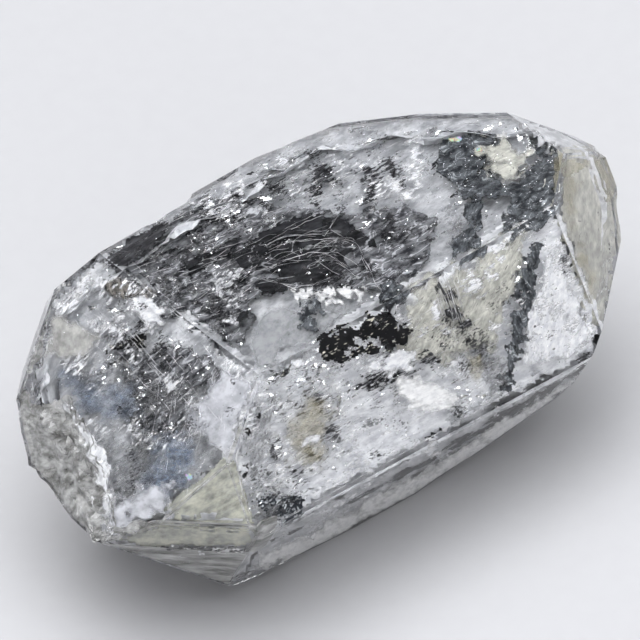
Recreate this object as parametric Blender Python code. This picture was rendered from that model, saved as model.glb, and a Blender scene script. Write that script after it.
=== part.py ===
# A Herkimer style quartz crystal, clear and much fractured, terminated at both ends.
# It is one piece of natural crystal that lies on a small flat of its underside.
#
# Frame: +X runs along the crystal's long axis to its yellowish end, +Z is up, and the
# resting flat is at z = 0. The origin is on that level, below the middle of the crystal.
import bpy
import bmesh
import math
from mathutils import Vector, noise

MM = 0.001

# Driving dimensions. A face is placed by its turn about the long axis in degrees (0 is
# the top, +90 the back, -90 the front), by its lean from the +X end in degrees, and by
# its distance in millimetres from a point in the heart of the crystal.
HEART = (-1.75, -1.40, 16.35)

PRISM_LEAN = 90.0
RIGHT_LEAN = 51.8
LEFT_LEAN = 180.0 - RIGHT_LEAN

# The hexagonal prism: six faces about 60 degrees apart, each off by what growth does.
PRISM_FACES = {
    "top": (0.0, PRISM_LEAN, 5.86),
    "front_upper": (-60.9, PRISM_LEAN - 0.3, 9.33),
    "front_lower": (-119.9, PRISM_LEAN + 1.0, 13.74),
    "bottom": (180.0, PRISM_LEAN, 14.95),
    "back_lower": (120.0, PRISM_LEAN, 13.30),
    "back_upper": (60.2, PRISM_LEAN + 0.5, 14.20),
}

# The pyramid of rhombohedral faces at the right end.
RIGHT_FACES = {
    "right_top": (0.0, RIGHT_LEAN - 0.3, 19.13),
    "right_front_upper": (-60.5, RIGHT_LEAN - 0.4, 18.74),
    "right_front_lower": (-119.9, RIGHT_LEAN + 0.5, 21.62),
    "right_bottom": (180.0, RIGHT_LEAN, 20.05),
    "right_back_lower": (120.0, RIGHT_LEAN, 18.34),
    "right_back_upper": (60.2, RIGHT_LEAN + 0.7, 19.45),
}

# The pyramid at the left end, where the top face has grown largest.
LEFT_FACES = {
    "left_top": (0.3, LEFT_LEAN + 0.5, 12.10),
    "left_front_upper": (-59.3, LEFT_LEAN - 1.0, 18.09),
    "left_front_lower": (-120.3, LEFT_LEAN + 1.6, 21.18),
    "left_bottom": (180.0, LEFT_LEAN - 1.1, 20.66),
    "left_back_lower": (120.0, LEFT_LEAN, 22.60),
    "left_back_upper": (60.2, LEFT_LEAN + 0.7, 20.65),
}

# Steeper faces that round the back shoulder and lift both ends of the underside.
STEEP_FACES = {
    "back_shoulder_low": (60.0, 81.5, 15.33),
    "back_shoulder_high": (60.0, 61.3, 18.00),
    "under_right": (180.0, 66.4, 17.00),
    "under_right_corner": (-140.0, 56.8, 21.27),
    "under_left": (180.0, 98.7, 16.76),
}

HABIT = {**PRISM_FACES, **RIGHT_FACES, **LEFT_FACES, **STEEP_FACES}

# Growth steps. Each is a second growth of the same crystal, parallel to the first, whose
# named faces lie further out or further in by so many millimetres. All its other faces
# are drawn in by STEP_INSET, so it shows only where it stands proud.
STEP_INSET = 0.05
GROWTH_STEPS = {
    "resting_step": {"bottom": 1.40, "under_right": -0.55},
    "back_ledge": {"back_upper": 0.50, "left_back_upper": -8.10},
    "front_band": {"front_lower": 0.16, "bottom": -5.20, "under_left": -6.40},
    "left_band": {"left_front_lower": 0.16, "under_left": -6.30},
}

# The broken left end, where three shallow dishes have come off. Each has a point and an
# outward direction, its reach, and the radius and depth of its bowl; then the height and
# length of its ripples, and how many cells its surface has along a side.
BREAKS = {
    "face_break": ((-25.8, 3.9, -6.4), (-0.81, 0.11, 0.575), 11.0, 8.0, 1.0, 0.13, 2.2, 30),
    "left_break": ((-25.1, 9.5, -4.25), (-0.68, 0.71, -0.19), 9.0, 9.0, 0.5, 0.12, 2.4, 16),
    "lower_break": ((-26.5, 1.8, -5.9), (-0.66, 0.22, -0.72), 8.0, 8.0, 0.4, 0.16, 2.0, 16),
}

# The crumbled band along the break's rim: small dishes that follow a bent line.
RIM_LINE = ((-21.4, 7.6, -1.6), (-22.4, 2.4, -2.4), (-25.6, -3.4, -5.0))
RIM_NORMAL = (-0.78, 0.12, 0.61)
RIM_CHIPS = 10
RIM_CHIP_RADIUS = 1.4
RIM_CHIP_DEPTH = 0.42
RIM_CHIP_SHIFT = 0.6
RIM_CHIP_TURN = 0.35
RIM_CHIP_SINK = 0.1
RIM_CHIP_RIPPLE = 0.10
RIM_CHIP_RIPPLE_LENGTH = 0.9
RIM_CHIP_CELLS = 6

# Nicks on the edges: the two faces that meet, the faces where the edge starts and ends,
# the share of the way along, and the nick's radius and depth in millimetres.
NICKS = [
    ("left_top", "left_front_lower", "left_front_upper", "left_bottom", 0.32, 0.9, 0.22),
    ("left_top", "left_front_lower", "left_front_upper", "left_bottom", 0.74, 1.2, 0.30),
    ("left_front_lower", "left_bottom", "under_left", "left_top", 0.08, 1.1, 0.34),
    ("front_upper", "front_lower", "left_front_lower", "right_front_lower", 0.02, 1.3, 0.34),
    ("front_lower", "bottom", "under_left", "under_right", 0.99, 1.0, 0.34),
    ("top", "back_upper", "left_top", "back_shoulder_low", 0.30, 1.0, 0.20),
    ("right_top", "right_front_upper", "top", "right_back_lower", 0.96, 1.1, 0.30),
    ("right_front_upper", "right_bottom", "right_front_lower", "right_back_lower", 0.55, 1.2, 0.22),
    ("left_top", "left_back_upper", "back_upper", "left_bottom", 0.35, 1.1, 0.22),
    ("back_upper", "back_lower", "left_back_upper", "right_back_upper", 0.22, 1.4, 0.36),
    ("back_upper", "back_lower", "left_back_upper", "right_back_upper", 0.66, 1.0, 0.24),
    ("back_lower", "bottom", "left_back_lower", "right_back_lower", 0.45, 1.2, 0.26),
]

# A nick is sunk below its edge by this share of its depth; its ripples and cells.
NICK_SINK = 0.3
NICK_RIPPLE = 0.05
NICK_RIPPLE_LENGTH = 0.7
NICK_CELLS = 5
NICK_SEED = 20.0

# Where the blow fell that a dish's ripples spread from, in shares of its radius, and how
# much rougher than its ripples the dish is.
STRIKE = (0.35, 0.75)
ROUGHNESS = 1.6

# Size of the block that the faces are cut from.
BLOCK = 130.0

# Distances in metres within which a cut or a merge takes two points for one.
CUT_TOLERANCE = 1e-7
MERGE_DISTANCE = 1e-6


def face_normal(turn, lean):
    turn = math.radians(turn)
    lean = math.radians(lean)
    return Vector((
        math.cos(lean),
        math.sin(lean) * math.sin(turn),
        math.sin(lean) * math.cos(turn),
    ))


def grow(faces):
    """A block cut back to the given faces, as a crystal is bounded by its faces."""
    bm = bmesh.new()
    bmesh.ops.create_cube(bm, size=BLOCK * MM)
    for turn, lean, distance in faces.values():
        normal = face_normal(turn, lean)
        cut = bmesh.ops.bisect_plane(
            bm,
            geom=bm.verts[:] + bm.edges[:] + bm.faces[:],
            dist=CUT_TOLERANCE,
            plane_co=normal * distance * MM,
            plane_no=normal,
            clear_outer=True,
        )
        rim = [item for item in cut["geom_cut"] if isinstance(item, bmesh.types.BMEdge)]
        if rim:
            bmesh.ops.edgeloop_fill(bm, edges=rim)
    bmesh.ops.remove_doubles(bm, verts=bm.verts[:], dist=MERGE_DISTANCE)
    bmesh.ops.recalc_face_normals(bm, faces=bm.faces[:])
    return bm


def add_object(name, bm):
    """An object whose own origin is the heart of the crystal."""
    mesh = bpy.data.meshes.new(name)
    bm.to_mesh(mesh)
    bm.free()
    obj = bpy.data.objects.new(name, mesh)
    obj.location = Vector(HEART) * MM
    bpy.context.scene.collection.objects.link(obj)
    return obj


def add_boolean(target, other, operation):
    other.hide_render = True
    other.display_type = "WIRE"
    boolean = target.modifiers.new(other.name, "BOOLEAN")
    boolean.operation = operation
    boolean.solver = "EXACT"
    boolean.object = other


def quartz_material():
    material = bpy.data.materials.new("clear_quartz")
    material.use_nodes = True
    shader = material.node_tree.nodes["Principled BSDF"]
    shader.inputs["Base Color"].default_value = (0.80, 0.82, 0.81, 1.0)
    shader.inputs["Roughness"].default_value = 0.06
    shader.inputs["Metallic"].default_value = 0.0
    shader.inputs["IOR"].default_value = 1.544
    shader.inputs["Transmission Weight"].default_value = 0.9
    return material


def face_direction(name):
    turn, lean, distance = HABIT[name]
    return face_normal(turn, lean)


def corner(*names):
    """The point where three faces of the main growth would meet."""
    a, b, c = (face_direction(name) for name in names)
    da, db, dc = (HABIT[name][2] * MM for name in names)
    return (da * b.cross(c) + db * c.cross(a) + dc * a.cross(b)) / a.dot(b.cross(c))


def dish(name, point, normal, reach, radius, depth, ripple, ripple_length, cells, seed):
    """A cutter with a rippled, bowl-shaped under side, as quartz breaks like glass."""
    normal = Vector(normal).normalized()
    turn = normal.to_track_quat("Z", "Y")
    bm = bmesh.new()
    bmesh.ops.create_grid(bm, x_segments=cells, y_segments=cells, size=reach)
    strike = Vector((STRIKE[0] * radius, STRIKE[1] * radius, 0.0))
    for vert in bm.verts:
        away = vert.co.length / radius
        bowl = -depth * (1.0 - min(1.0, away) ** 2)
        wave = ripple * math.sin(math.tau * (vert.co - strike).length / ripple_length)
        rough = ROUGHNESS * ripple * noise.noise(vert.co / ripple_length + Vector((seed, 0.3, 7.1)))
        vert.co.z = bowl + wave + rough
    raised = bmesh.ops.extrude_face_region(bm, geom=bm.faces[:])
    lid = [item for item in raised["geom"] if isinstance(item, bmesh.types.BMVert)]
    for vert in lid:
        vert.co.z = reach
    bmesh.ops.recalc_face_normals(bm, faces=bm.faces[:])
    for vert in bm.verts:
        vert.co = Vector(point) * MM + turn @ (vert.co * MM)
    return add_object(name, bm)


for obj in list(bpy.data.objects):
    bpy.data.objects.remove(obj)

crystal = add_object("crystal", grow(HABIT))
crystal.data.materials.append(quartz_material())

for name, offsets in GROWTH_STEPS.items():
    faces = {}
    for face, (turn, lean, distance) in HABIT.items():
        faces[face] = (turn, lean, distance + offsets.get(face, -STEP_INSET))
    add_boolean(crystal, add_object(name, grow(faces)), "UNION")

for i, (name, dimensions) in enumerate(BREAKS.items()):
    add_boolean(crystal, dish(name, *dimensions, 1.0 + i), "DIFFERENCE")

rim_start, rim_bend, rim_end = (Vector(point) for point in RIM_LINE)
for i in range(RIM_CHIPS):
    share = (i + 0.5) / RIM_CHIPS
    point = rim_start.lerp(rim_bend, share).lerp(rim_bend.lerp(rim_end, share), share)
    sway = noise.noise_vector(Vector((i * 1.7, 4.2, 0.0)))
    point += sway * RIM_CHIP_SHIFT
    normal = Vector(RIM_NORMAL) + sway * RIM_CHIP_TURN
    point -= normal.normalized() * RIM_CHIP_SINK
    chip = dish(f"rim_chip_{i}", point, normal, RIM_CHIP_RADIUS, RIM_CHIP_RADIUS,
                RIM_CHIP_DEPTH, RIM_CHIP_RIPPLE, RIM_CHIP_RIPPLE_LENGTH, RIM_CHIP_CELLS,
                float(i))
    add_boolean(crystal, chip, "DIFFERENCE")

for i, (face_a, face_b, start, end, share, radius, depth) in enumerate(NICKS):
    point = corner(face_a, face_b, start).lerp(corner(face_a, face_b, end), share) / MM
    normal = (face_direction(face_a) + face_direction(face_b)).normalized()
    nick = dish(f"nick_{i}", point - normal * NICK_SINK * depth, normal, radius, radius,
                depth, NICK_RIPPLE, NICK_RIPPLE_LENGTH, NICK_CELLS, NICK_SEED + i)
    add_boolean(crystal, nick, "DIFFERENCE")
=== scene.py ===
import bmesh
import bpy
import math
import random
import numpy as np
from mathutils import Matrix, Vector
from mathutils.bvhtree import BVHTree


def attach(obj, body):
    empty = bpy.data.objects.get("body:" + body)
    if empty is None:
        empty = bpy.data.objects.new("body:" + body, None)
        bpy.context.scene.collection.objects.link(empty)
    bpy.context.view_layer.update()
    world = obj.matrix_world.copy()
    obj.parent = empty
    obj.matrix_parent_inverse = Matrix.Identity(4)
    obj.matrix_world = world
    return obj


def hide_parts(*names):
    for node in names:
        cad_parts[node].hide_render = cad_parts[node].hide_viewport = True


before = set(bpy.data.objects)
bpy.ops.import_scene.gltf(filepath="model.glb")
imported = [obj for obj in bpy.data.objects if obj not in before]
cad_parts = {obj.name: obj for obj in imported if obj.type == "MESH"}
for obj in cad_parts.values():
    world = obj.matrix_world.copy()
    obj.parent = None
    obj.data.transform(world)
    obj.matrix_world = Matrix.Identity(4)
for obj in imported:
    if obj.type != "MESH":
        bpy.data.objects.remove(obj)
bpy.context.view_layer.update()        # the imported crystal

mm = 0.001
quartzIor = 1.544
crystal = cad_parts["crystal"]      # only read here


# The camera comes first, because the films inside are placed by what it sees
view = {
    "azimuth": -37.3,       # degrees, 0 looks along +Y
    "elevation": 40.0,
    "roll": -3.46,
    "aim": (-1.75, -1.40, 16.35),   # mm, the point at the middle of the photograph
    "distance": 1600.0,     # mm, a long lens from far off
    "pixel": 0.08,          # mm of crystal under one pixel of the photograph
    "side": 640,            # pixels
    "sensor": 36.0,         # mm
    "clip": (0.05, 10.0),   # m
}


def cameraAxes():
    a = math.radians(view["azimuth"])
    e = math.radians(view["elevation"])
    back = Vector((math.sin(a) * math.cos(e), -math.cos(a) * math.cos(e), math.sin(e)))
    right = Vector((math.cos(a), math.sin(a), 0.0))
    turn = Matrix.Rotation(math.radians(view["roll"]), 3, back)
    right = turn @ right
    return right, back.cross(right), back


camRight, camUp, camBack = cameraAxes()
camAim = Vector(view["aim"]) * mm
camPlace = camAim + camBack * view["distance"] * mm


def addCamera():
    data = bpy.data.cameras.new("longLens")
    data.sensor_width = view["sensor"]
    data.lens = view["sensor"] * view["distance"] / (view["pixel"] * view["side"])
    data.clip_start, data.clip_end = view["clip"]
    camera = bpy.data.objects.new("longLens", data)
    bpy.context.scene.collection.objects.link(camera)
    turn = Matrix((camRight, camUp, camBack)).transposed().to_4x4()
    camera.matrix_world = Matrix.Translation(camPlace) @ turn
    bpy.context.scene.camera = camera


addCamera()
print("camera in place")


# Small helpers for nodes and meshes
def newMaterial(name):
    material = bpy.data.materials.new(name)
    material.use_nodes = True
    material.node_tree.nodes.clear()
    return material, material.node_tree


def addNode(tree, kind, inputs, **settings):
    # an input takes a value, or another node's output
    node = tree.nodes.new("ShaderNode" + kind)
    for key, value in settings.items():
        setattr(node, key, value)
    for key, value in inputs.items():
        if isinstance(value, bpy.types.NodeSocket):
            tree.links.new(value, node.inputs[key])
        else:
            node.inputs[key].default_value = value
    return node.outputs


def addRamp(tree, value, stops):
    # stops are places with their colours, from low to high
    colour = addNode(tree, "ValToRGB", {"Fac": value})["Color"]
    elements = colour.node.color_ramp.elements
    for element, stop in zip((elements[0], elements[1]), (stops[0], stops[-1])):
        element.position = stop[0]
        element.color = (*stop[1], 1.0)
    for place, tone in stops[1:-1]:
        elements.new(place).color = (*tone, 1.0)
    return colour


def addMap(tree, value, low, high, fromLow=0.0, fromHigh=1.0):
    return addNode(tree, "MapRange", {
        "Value": value, "From Min": fromLow, "From Max": fromHigh, "To Min": low, "To Max": high,
    })["Result"]


def addBump(tree, height, strength, distance):
    inputs = {"Strength": strength, "Distance": distance * mm, "Height": height}
    return addNode(tree, "Bump", inputs)["Normal"]


def addSurface(tree, inputs, **volume):
    shader = addNode(tree, "BsdfPrincipled", inputs)
    addNode(tree, "OutputMaterial", {"Surface": shader["BSDF"], **volume})


def unselect():
    bpy.ops.object.select_all(action="DESELECT")


def makeActive(piece):
    unselect()
    piece.select_set(True)
    bpy.context.view_layer.objects.active = piece


def turnFacesOut(piece):
    makeActive(piece)
    bpy.ops.object.mode_set(mode="EDIT")
    bpy.ops.mesh.select_all(action="SELECT")
    bpy.ops.mesh.normals_make_consistent(inside=False)
    bpy.ops.object.mode_set(mode="OBJECT")


def thicken(piece, thickness):
    makeActive(piece)
    thick = piece.modifiers.new("thickness", "SOLIDIFY")
    thick.thickness = thickness * mm
    thick.offset = 0.0
    bpy.ops.object.modifier_apply(modifier=thick.name)


def finishInside(piece):
    # the inner films throw no hard shadow on the floor
    piece.visible_shadow = False
    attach(piece, "root")
    print(piece.name + ":", len(piece.data.polygons), "faces")


def readPoints(mesh):
    points = np.empty(len(mesh.vertices) * 3)
    mesh.vertices.foreach_get("co", points)
    return points.reshape(-1, 3)


def writeUv(mesh, flat):
    # flat holds a position in mm for each vertex
    loops = np.empty(len(mesh.loops), int)
    mesh.loops.foreach_get("vertex_index", loops)
    uv = mesh.uv_layers[0] if mesh.uv_layers else mesh.uv_layers.new(name="sheet")
    uv.data.foreach_set("uv", flat[loops].ravel())


def writeCover(mesh, cover):
    mesh.attributes.new("cover", "FLOAT", "POINT").data.foreach_set("value", cover)


# The crystal's faces: turn about the long axis and lean from +X
faceTurns = {
    "top": (0.0, 90.0),
    "frontUpper": (-60.9, 89.7),
    "frontLower": (-119.9, 91.0),
    "bottom": (180.0, 90.0),
    "backLower": (120.0, 90.0),
    "backUpper": (60.2, 90.5),
    "rightTop": (0.0, 51.5),
    "rightFrontUpper": (-60.5, 51.4),
    "rightFrontLower": (-119.9, 52.3),
    "rightBottom": (180.0, 51.8),
    "rightBackLower": (120.0, 51.8),
    "rightBackUpper": (60.2, 52.5),
    "leftTop": (0.3, 128.7),
    "leftFrontUpper": (-59.3, 127.2),
    "leftFrontLower": (-120.3, 129.8),
    "leftBottom": (180.0, 127.1),
    "leftBackLower": (120.0, 128.2),
    "leftBackUpper": (60.2, 128.9),
    "backShoulderLow": (60.0, 81.5),
    "backShoulderHigh": (60.0, 61.3),
    "underRight": (180.0, 66.4),
    "underRightCorner": (-140.0, 56.8),
    "underLeft": (180.0, 98.7),
    "faceBreak": (-169.0, 144.0),
}
finder = {
    "lean": 1.2,        # degrees a triangle may lean from its face
    "least": 0.5,       # mm2
    "level": 0.1,       # mm between the levels of a stepped face
    "flat": 0.999,      # cosine, for the corners of a face
    "near": 0.25,       # mm, for the same
}


def faceNormal(turn, lean):
    turn = math.radians(turn)
    lean = math.radians(lean)
    return np.array(Vector((
        math.cos(lean),
        math.sin(lean) * math.sin(turn),
        math.sin(lean) * math.cos(turn),
    )))


def measureFaces():
    # each face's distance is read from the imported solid
    mesh = crystal.data
    normals = np.empty(len(mesh.polygons) * 3)
    centres = np.empty(len(mesh.polygons) * 3)
    areas = np.empty(len(mesh.polygons))
    mesh.polygons.foreach_get("normal", normals)
    mesh.polygons.foreach_get("center", centres)
    mesh.polygons.foreach_get("area", areas)
    normals = normals.reshape(-1, 3)
    centres = centres.reshape(-1, 3)
    planes = {}
    for name, (turn, lean) in faceTurns.items():
        normal = faceNormal(turn, lean)
        near = normals @ normal > math.cos(math.radians(finder["lean"]))
        if areas[near].sum() > finder["least"] * mm * mm:
            away = centres[near] @ normal
            # of a stepped face, the level with the most area carries the veils
            level = np.round(away / (finder["level"] * mm))
            best = max(set(level), key=lambda value: areas[near][level == value].sum())
            planes[name] = (normal, float(away[level == best].mean()))
    return planes


planes = measureFaces()
print("faces found:", len(planes), "of", len(faceTurns))


scene = bpy.context.scene
scene.view_settings.view_transform = "Standard"
scene.cycles.max_bounces = 10
scene.cycles.transmission_bounces = 10
scene.cycles.diffuse_bounces = 3
scene.cycles.transparent_max_bounces = 24
scene.cycles.use_light_tree = False


# Floor and studio light
studio = {
    "floorSize": 1.6,           # m
    "floorColour": (0.31, 0.31, 0.32),
    "floorShade": (0.29, 0.29, 0.30),
    "floorGrain": 1.5,          # mm
    "floorRoughness": (0.55, 0.70),
    "floorBump": (0.2, 0.05),             # strength, and height in mm
    "skyRing": (1.0, 1.0, 1.02),          # a low band all round
    "skyGap": (0.07, 0.072, 0.08),        # a dark band above it
    "skyHigh": (4.2, 4.25, 4.35),
    "ringTop": (0.07, 0.14),              # heights, 1 is straight up
    "softTop": (0.68, 0.84),
}


def addFloor():
    unselect()
    bpy.ops.mesh.primitive_grid_add(x_subdivisions=8, y_subdivisions=8, size=studio["floorSize"])
    floor = bpy.context.active_object
    floor.name = "floor"
    material, tree = newMaterial("pale_board")
    where = addNode(tree, "TexCoord", {})
    grain = addNode(tree, "TexNoise", {
        "Vector": where["Object"], "Scale": 1.0 / (studio["floorGrain"] * mm), "Detail": 2.0,
    })["Fac"]
    addSurface(tree, {
        "Base Color": addRamp(tree, grain, [(0.0, studio["floorShade"]), (1.0, studio["floorColour"])]),
        "Roughness": addMap(tree, grain, *studio["floorRoughness"]),
        "Normal": addBump(tree, grain, *studio["floorBump"]),
    })
    floor.data.materials.append(material)
    return floor


floor = addFloor()

lamps = {
    "overhead": {"place": (-0.10, 0.05, 0.55), "size": 0.45, "power": 1.6},
    "leftCard": {"place": (-0.55, -0.05, 0.25), "size": 0.30, "power": 0.7},
    "frontCard": {"place": (-0.24, -0.58, 0.27), "size": 0.52, "power": 2.2},
    "rightCard": {"place": (0.60, -0.05, 0.25), "size": 0.40, "power": 0.8},
    "lowCard": {"place": (-0.02, -0.32, 0.045), "size": 0.08, "power": 0.22},
    "backCard": {"place": (-0.15, 0.62, 0.22), "size": 0.45, "power": 1.0},
}


def addLamps():
    for name, lamp in lamps.items():
        data = bpy.data.lights.new(name, "AREA")
        data.shape = "SQUARE"
        data.size = lamp["size"]
        data.energy = lamp["power"]
        light = bpy.data.objects.new(name, data)
        scene.collection.objects.link(light)
        light.location = lamp["place"]
        aim = camAim - light.location
        light.rotation_euler = aim.to_track_quat("-Z", "Y").to_euler()


def addSky():
    world = bpy.data.worlds.new("studio")
    scene.world = world
    world.use_nodes = True
    tree = world.node_tree
    tree.nodes.clear()
    where = addNode(tree, "TexCoord", {})
    split = addNode(tree, "SeparateXYZ", {"Vector": where["Generated"]})
    tone = addRamp(tree, split["Z"], [
        (studio["ringTop"][0], studio["skyRing"]), (studio["ringTop"][1], studio["skyGap"]),
        (studio["softTop"][0], studio["skyGap"]), (studio["softTop"][1], studio["skyHigh"]),
    ])
    glow = addNode(tree, "Background", {"Color": tone, "Strength": 1.0})
    addNode(tree, "OutputWorld", {"Surface": glow["Background"]})


addLamps()
addSky()
print("floor and light in place")


# The clear outside of the crystal
skin = {
    "edgeWear": 0.05,        # mm taken off the sharp edges
    "wearAngle": 14.0,       # degrees
    "weld": 0.01,            # mm
    "level": 0.5,            # degrees between triangles of one flat
    "cell": 0.5,             # mm between the grid cuts
    "polish": 0.006,         # roughness of the bright faces
    "scuff": 0.10,           # roughness along the scratches
    "scratch": (0.8, 0.05),  # mm, length and width
    "scratchTurn": 35.0,     # degrees
    "scratchShare": (0.66, 0.76),
    "ripple": 1.1,           # mm between the growth ripples
    "rippleHeight": 0.006,   # mm
    "absorb": (0.90, 0.92, 0.91, 1.0),
    "density": 4.0,
}


def cutGrid(piece, step):
    makeActive(piece)
    points = readPoints(piece.data)
    low = points.min(axis=0)
    high = points.max(axis=0)
    bpy.ops.object.mode_set(mode="EDIT")
    for axis in range(3):
        way = [0.0, 0.0, 0.0]
        way[axis] = 1.0
        for i in range(1, int((high[axis] - low[axis]) / step) + 1):
            point = [0.0, 0.0, 0.0]
            point[axis] = low[axis] + i * step
            bpy.ops.mesh.select_all(action="SELECT")
            bpy.ops.mesh.bisect(plane_co=point, plane_no=way)
    bpy.ops.object.mode_set(mode="OBJECT")


def addSkin():
    mesh = crystal.data.copy()
    piece = bpy.data.objects.new("crystal_skin", mesh)
    scene.collection.objects.link(piece)
    piece.matrix_world = crystal.matrix_world.copy()
    mesh.materials.clear()
    makeActive(piece)
    bpy.ops.object.transform_apply(location=True, rotation=True, scale=True)
    bpy.ops.object.mode_set(mode="EDIT")
    bpy.ops.mesh.select_all(action="SELECT")
    bpy.ops.mesh.remove_doubles(threshold=skin["weld"] * mm)
    bpy.ops.mesh.dissolve_limited(angle_limit=math.radians(skin["level"]))
    bpy.ops.object.mode_set(mode="OBJECT")
    wear = piece.modifiers.new("wear", "BEVEL")
    wear.width = skin["edgeWear"] * mm
    wear.segments = 2
    wear.limit_method = "ANGLE"
    wear.angle_limit = math.radians(skin["wearAngle"])
    bpy.ops.object.modifier_apply(modifier=wear.name)
    cutGrid(piece, skin["cell"] * mm)
    return piece


def quartzGlass():
    material, tree = newMaterial("clear_quartz_skin")
    where = addNode(tree, "TexCoord", {})["Object"]
    stretch = addNode(tree, "Mapping", {
        "Vector": where, "Rotation": (0.0, 0.0, math.radians(skin["scratchTurn"])),
        "Scale": tuple(1.0 / (skin["scratch"][i] * mm) for i in (0, 1, 1)),
    })["Vector"]
    scratch = addNode(tree, "TexNoise", {"Vector": stretch, "Scale": 1.0, "Detail": 2.0})["Fac"]
    scale = 1.0 / (skin["ripple"] * mm)
    ripple = addNode(tree, "TexNoise", {"Vector": where, "Scale": scale, "Detail": 1.0})["Fac"]
    body = addNode(tree, "VolumeAbsorption", {"Color": skin["absorb"], "Density": skin["density"]})
    addSurface(tree, {
        "Base Color": (1.0, 1.0, 1.0, 1.0), "Transmission Weight": 1.0, "IOR": quartzIor,
        "Roughness": addMap(tree, scratch, skin["polish"], skin["scuff"], *skin["scratchShare"]),
        "Normal": addBump(tree, ripple, 1.0, skin["rippleHeight"]),
    }, Volume=body["Volume"])
    return material


skinPiece = addSkin()
skinPiece.data.materials.append(quartzGlass())
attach(skinPiece, "root")
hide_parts("crystal")
print("skin:", len(skinPiece.data.polygons), "faces")


# Everything inside hangs under a face: a picture position is carried through that
# face with the bend quartz gives it, then down to a depth
def rayThrough(px, py):
    middle = view["side"] / 2.0
    pitch = view["pixel"] * mm
    away = np.outer(px - middle, camRight) * pitch - np.outer(py - middle, camUp) * pitch
    away = away - np.array(camBack) * view["distance"] * mm
    return away / np.linalg.norm(away, axis=1)[:, None]


def underPicture(face):
    normal, offset = planes[face]

    def place(x, y, depth):
        ray = rayThrough(x, y)
        start = np.array(camPlace)
        run = (offset - start @ normal) / (ray @ normal)
        hit = start + ray * run[:, None]
        cosIn = -(ray @ normal)
        ratio = 1.0 / quartzIor
        cosOut = np.sqrt(1.0 - ratio ** 2 * (1.0 - cosIn ** 2))
        bent = ray * ratio + normal * (ratio * cosIn - cosOut)[:, None]
        return hit + bent * (depth * mm / cosOut)[:, None]
    return place


def faceCorners(face):
    normal, offset = planes[face]
    corners = []
    for polygon in crystal.data.polygons:
        if np.array(polygon.normal) @ normal > finder["flat"]:
            if abs(np.array(polygon.center) @ normal - offset) < finder["near"] * mm:
                corners += [crystal.data.vertices[index].co[:] for index in polygon.vertices]
    return np.array(corners)


def facePatch(face):
    # centre and two directions of a face
    normal, offset = planes[face]
    corners = faceCorners(face)
    along = np.cross(normal, (0.0, 0.3, 1.0) if abs(normal[2]) < 0.9 else (0.0, 1.0, 0.0))
    along = along / np.linalg.norm(along)
    across = np.cross(normal, along)
    a = corners @ along
    b = corners @ across
    centre = (along * (a.min() + a.max()) + across * (b.min() + b.max())) / 2.0
    return centre + normal * offset, along, across


def underFace(face):
    normal = planes[face][0]
    centre, along, across = facePatch(face)

    def place(x, y, depth):
        flat = np.outer(x, along) + np.outer(y, across) - np.outer(depth, normal)
        return centre + flat * mm
    return place


def lattice(x, y, size, seed):
    # smooth random values between -1 and 1, one lattice point every size
    count = 64
    table = np.random.default_rng(seed).uniform(-1.0, 1.0, (count, count))
    gx = x / size + 31.3     # away from the corner of the table
    gy = y / size + 17.7
    ix = np.floor(gx).astype(int)
    iy = np.floor(gy).astype(int)
    fx = gx - ix
    fy = gy - iy
    fx = fx * fx * (3.0 - 2.0 * fx)
    fy = fy * fy * (3.0 - 2.0 * fy)
    left, right = ix % count, (ix + 1) % count
    near, far = iy % count, (iy + 1) % count
    low = table[left, near] * (1.0 - fx) + table[right, near] * fx
    high = table[left, far] * (1.0 - fx) + table[right, far] * fx
    return low * (1.0 - fy) + high * fy


def rough(x, y, size, seed):
    return (lattice(x, y, size, seed) + 0.5 * lattice(x, y, size / 2.1, seed + 1)
            + 0.25 * lattice(x, y, size / 4.3, seed + 2))


def outlineDepth(x, y, outline):
    # distance to the outline, positive inside it
    inside = np.zeros(len(x), bool)
    nearest = np.full(len(x), 1e9)
    for (ax, ay), (bx, by) in zip(outline, outline[1:] + outline[:1]):
        dx = bx - ax
        dy = by - ay
        t = np.clip(((x - ax) * dx + (y - ay) * dy) / (dx * dx + dy * dy), 0.0, 1.0)
        nearest = np.minimum(nearest, np.hypot(x - ax - dx * t, y - ay - dy * t))
        if ay != by:
            inside ^= ((ay > y) != (by > y)) & (x < dx * (y - ay) / dy + ax)
    return np.where(inside, nearest, -nearest)


solidTree = BVHTree.FromPolygons(
    [v.co.copy() for v in crystal.data.vertices],
    [tuple(p.vertices) for p in crystal.data.polygons],
)


def keepInside(points, margin):
    # margin in mm under the surface
    margin = margin * mm
    for turn in range(3):
        for normal, offset in planes.values():
            over = points @ normal - (offset - margin)
            points = points - np.outer(np.maximum(over, 0.0), normal)
    for i in range(len(points)):
        near, normal, index, gap = solidTree.find_nearest(Vector(points[i]))
        if near is not None and (Vector(points[i]) - near).dot(normal) > -margin:
            points[i] = near - normal * margin
    return points


# Sizes of the sheets, chips and threads inside, in mm
inner = {
    "filmMargin": 0.22,      # least distance to the surface
    "chipMargin": 0.3,
    "threadMargin": 0.25,
    "leastDepth": 0.25,
    "thickness": 0.02,
    "wave": 2.5,             # between the swells of a film
    "jitter": 0.3,           # share of a cell
    "clumping": 0.26,        # how far the cover wanders
    "fadeLoss": 0.45,        # cover lost at a faded outline
    "reach": 0.70,           # what the grains can add at most
    "leastCells": 4,         # on each side of a sheet
    "holeLow": -1.4,         # a film is open where a noise is under low + span * its holes
    "holeSpan": 2.4,
}
plain = {"picture": True, "tear": 0.25, "tearSize": 1.2, "fade": 0.0, "holes": 0.0, "holeSize": 0.8}


def pairs(numbers):
    return list(zip(numbers[::2], numbers[1::2]))


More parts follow.
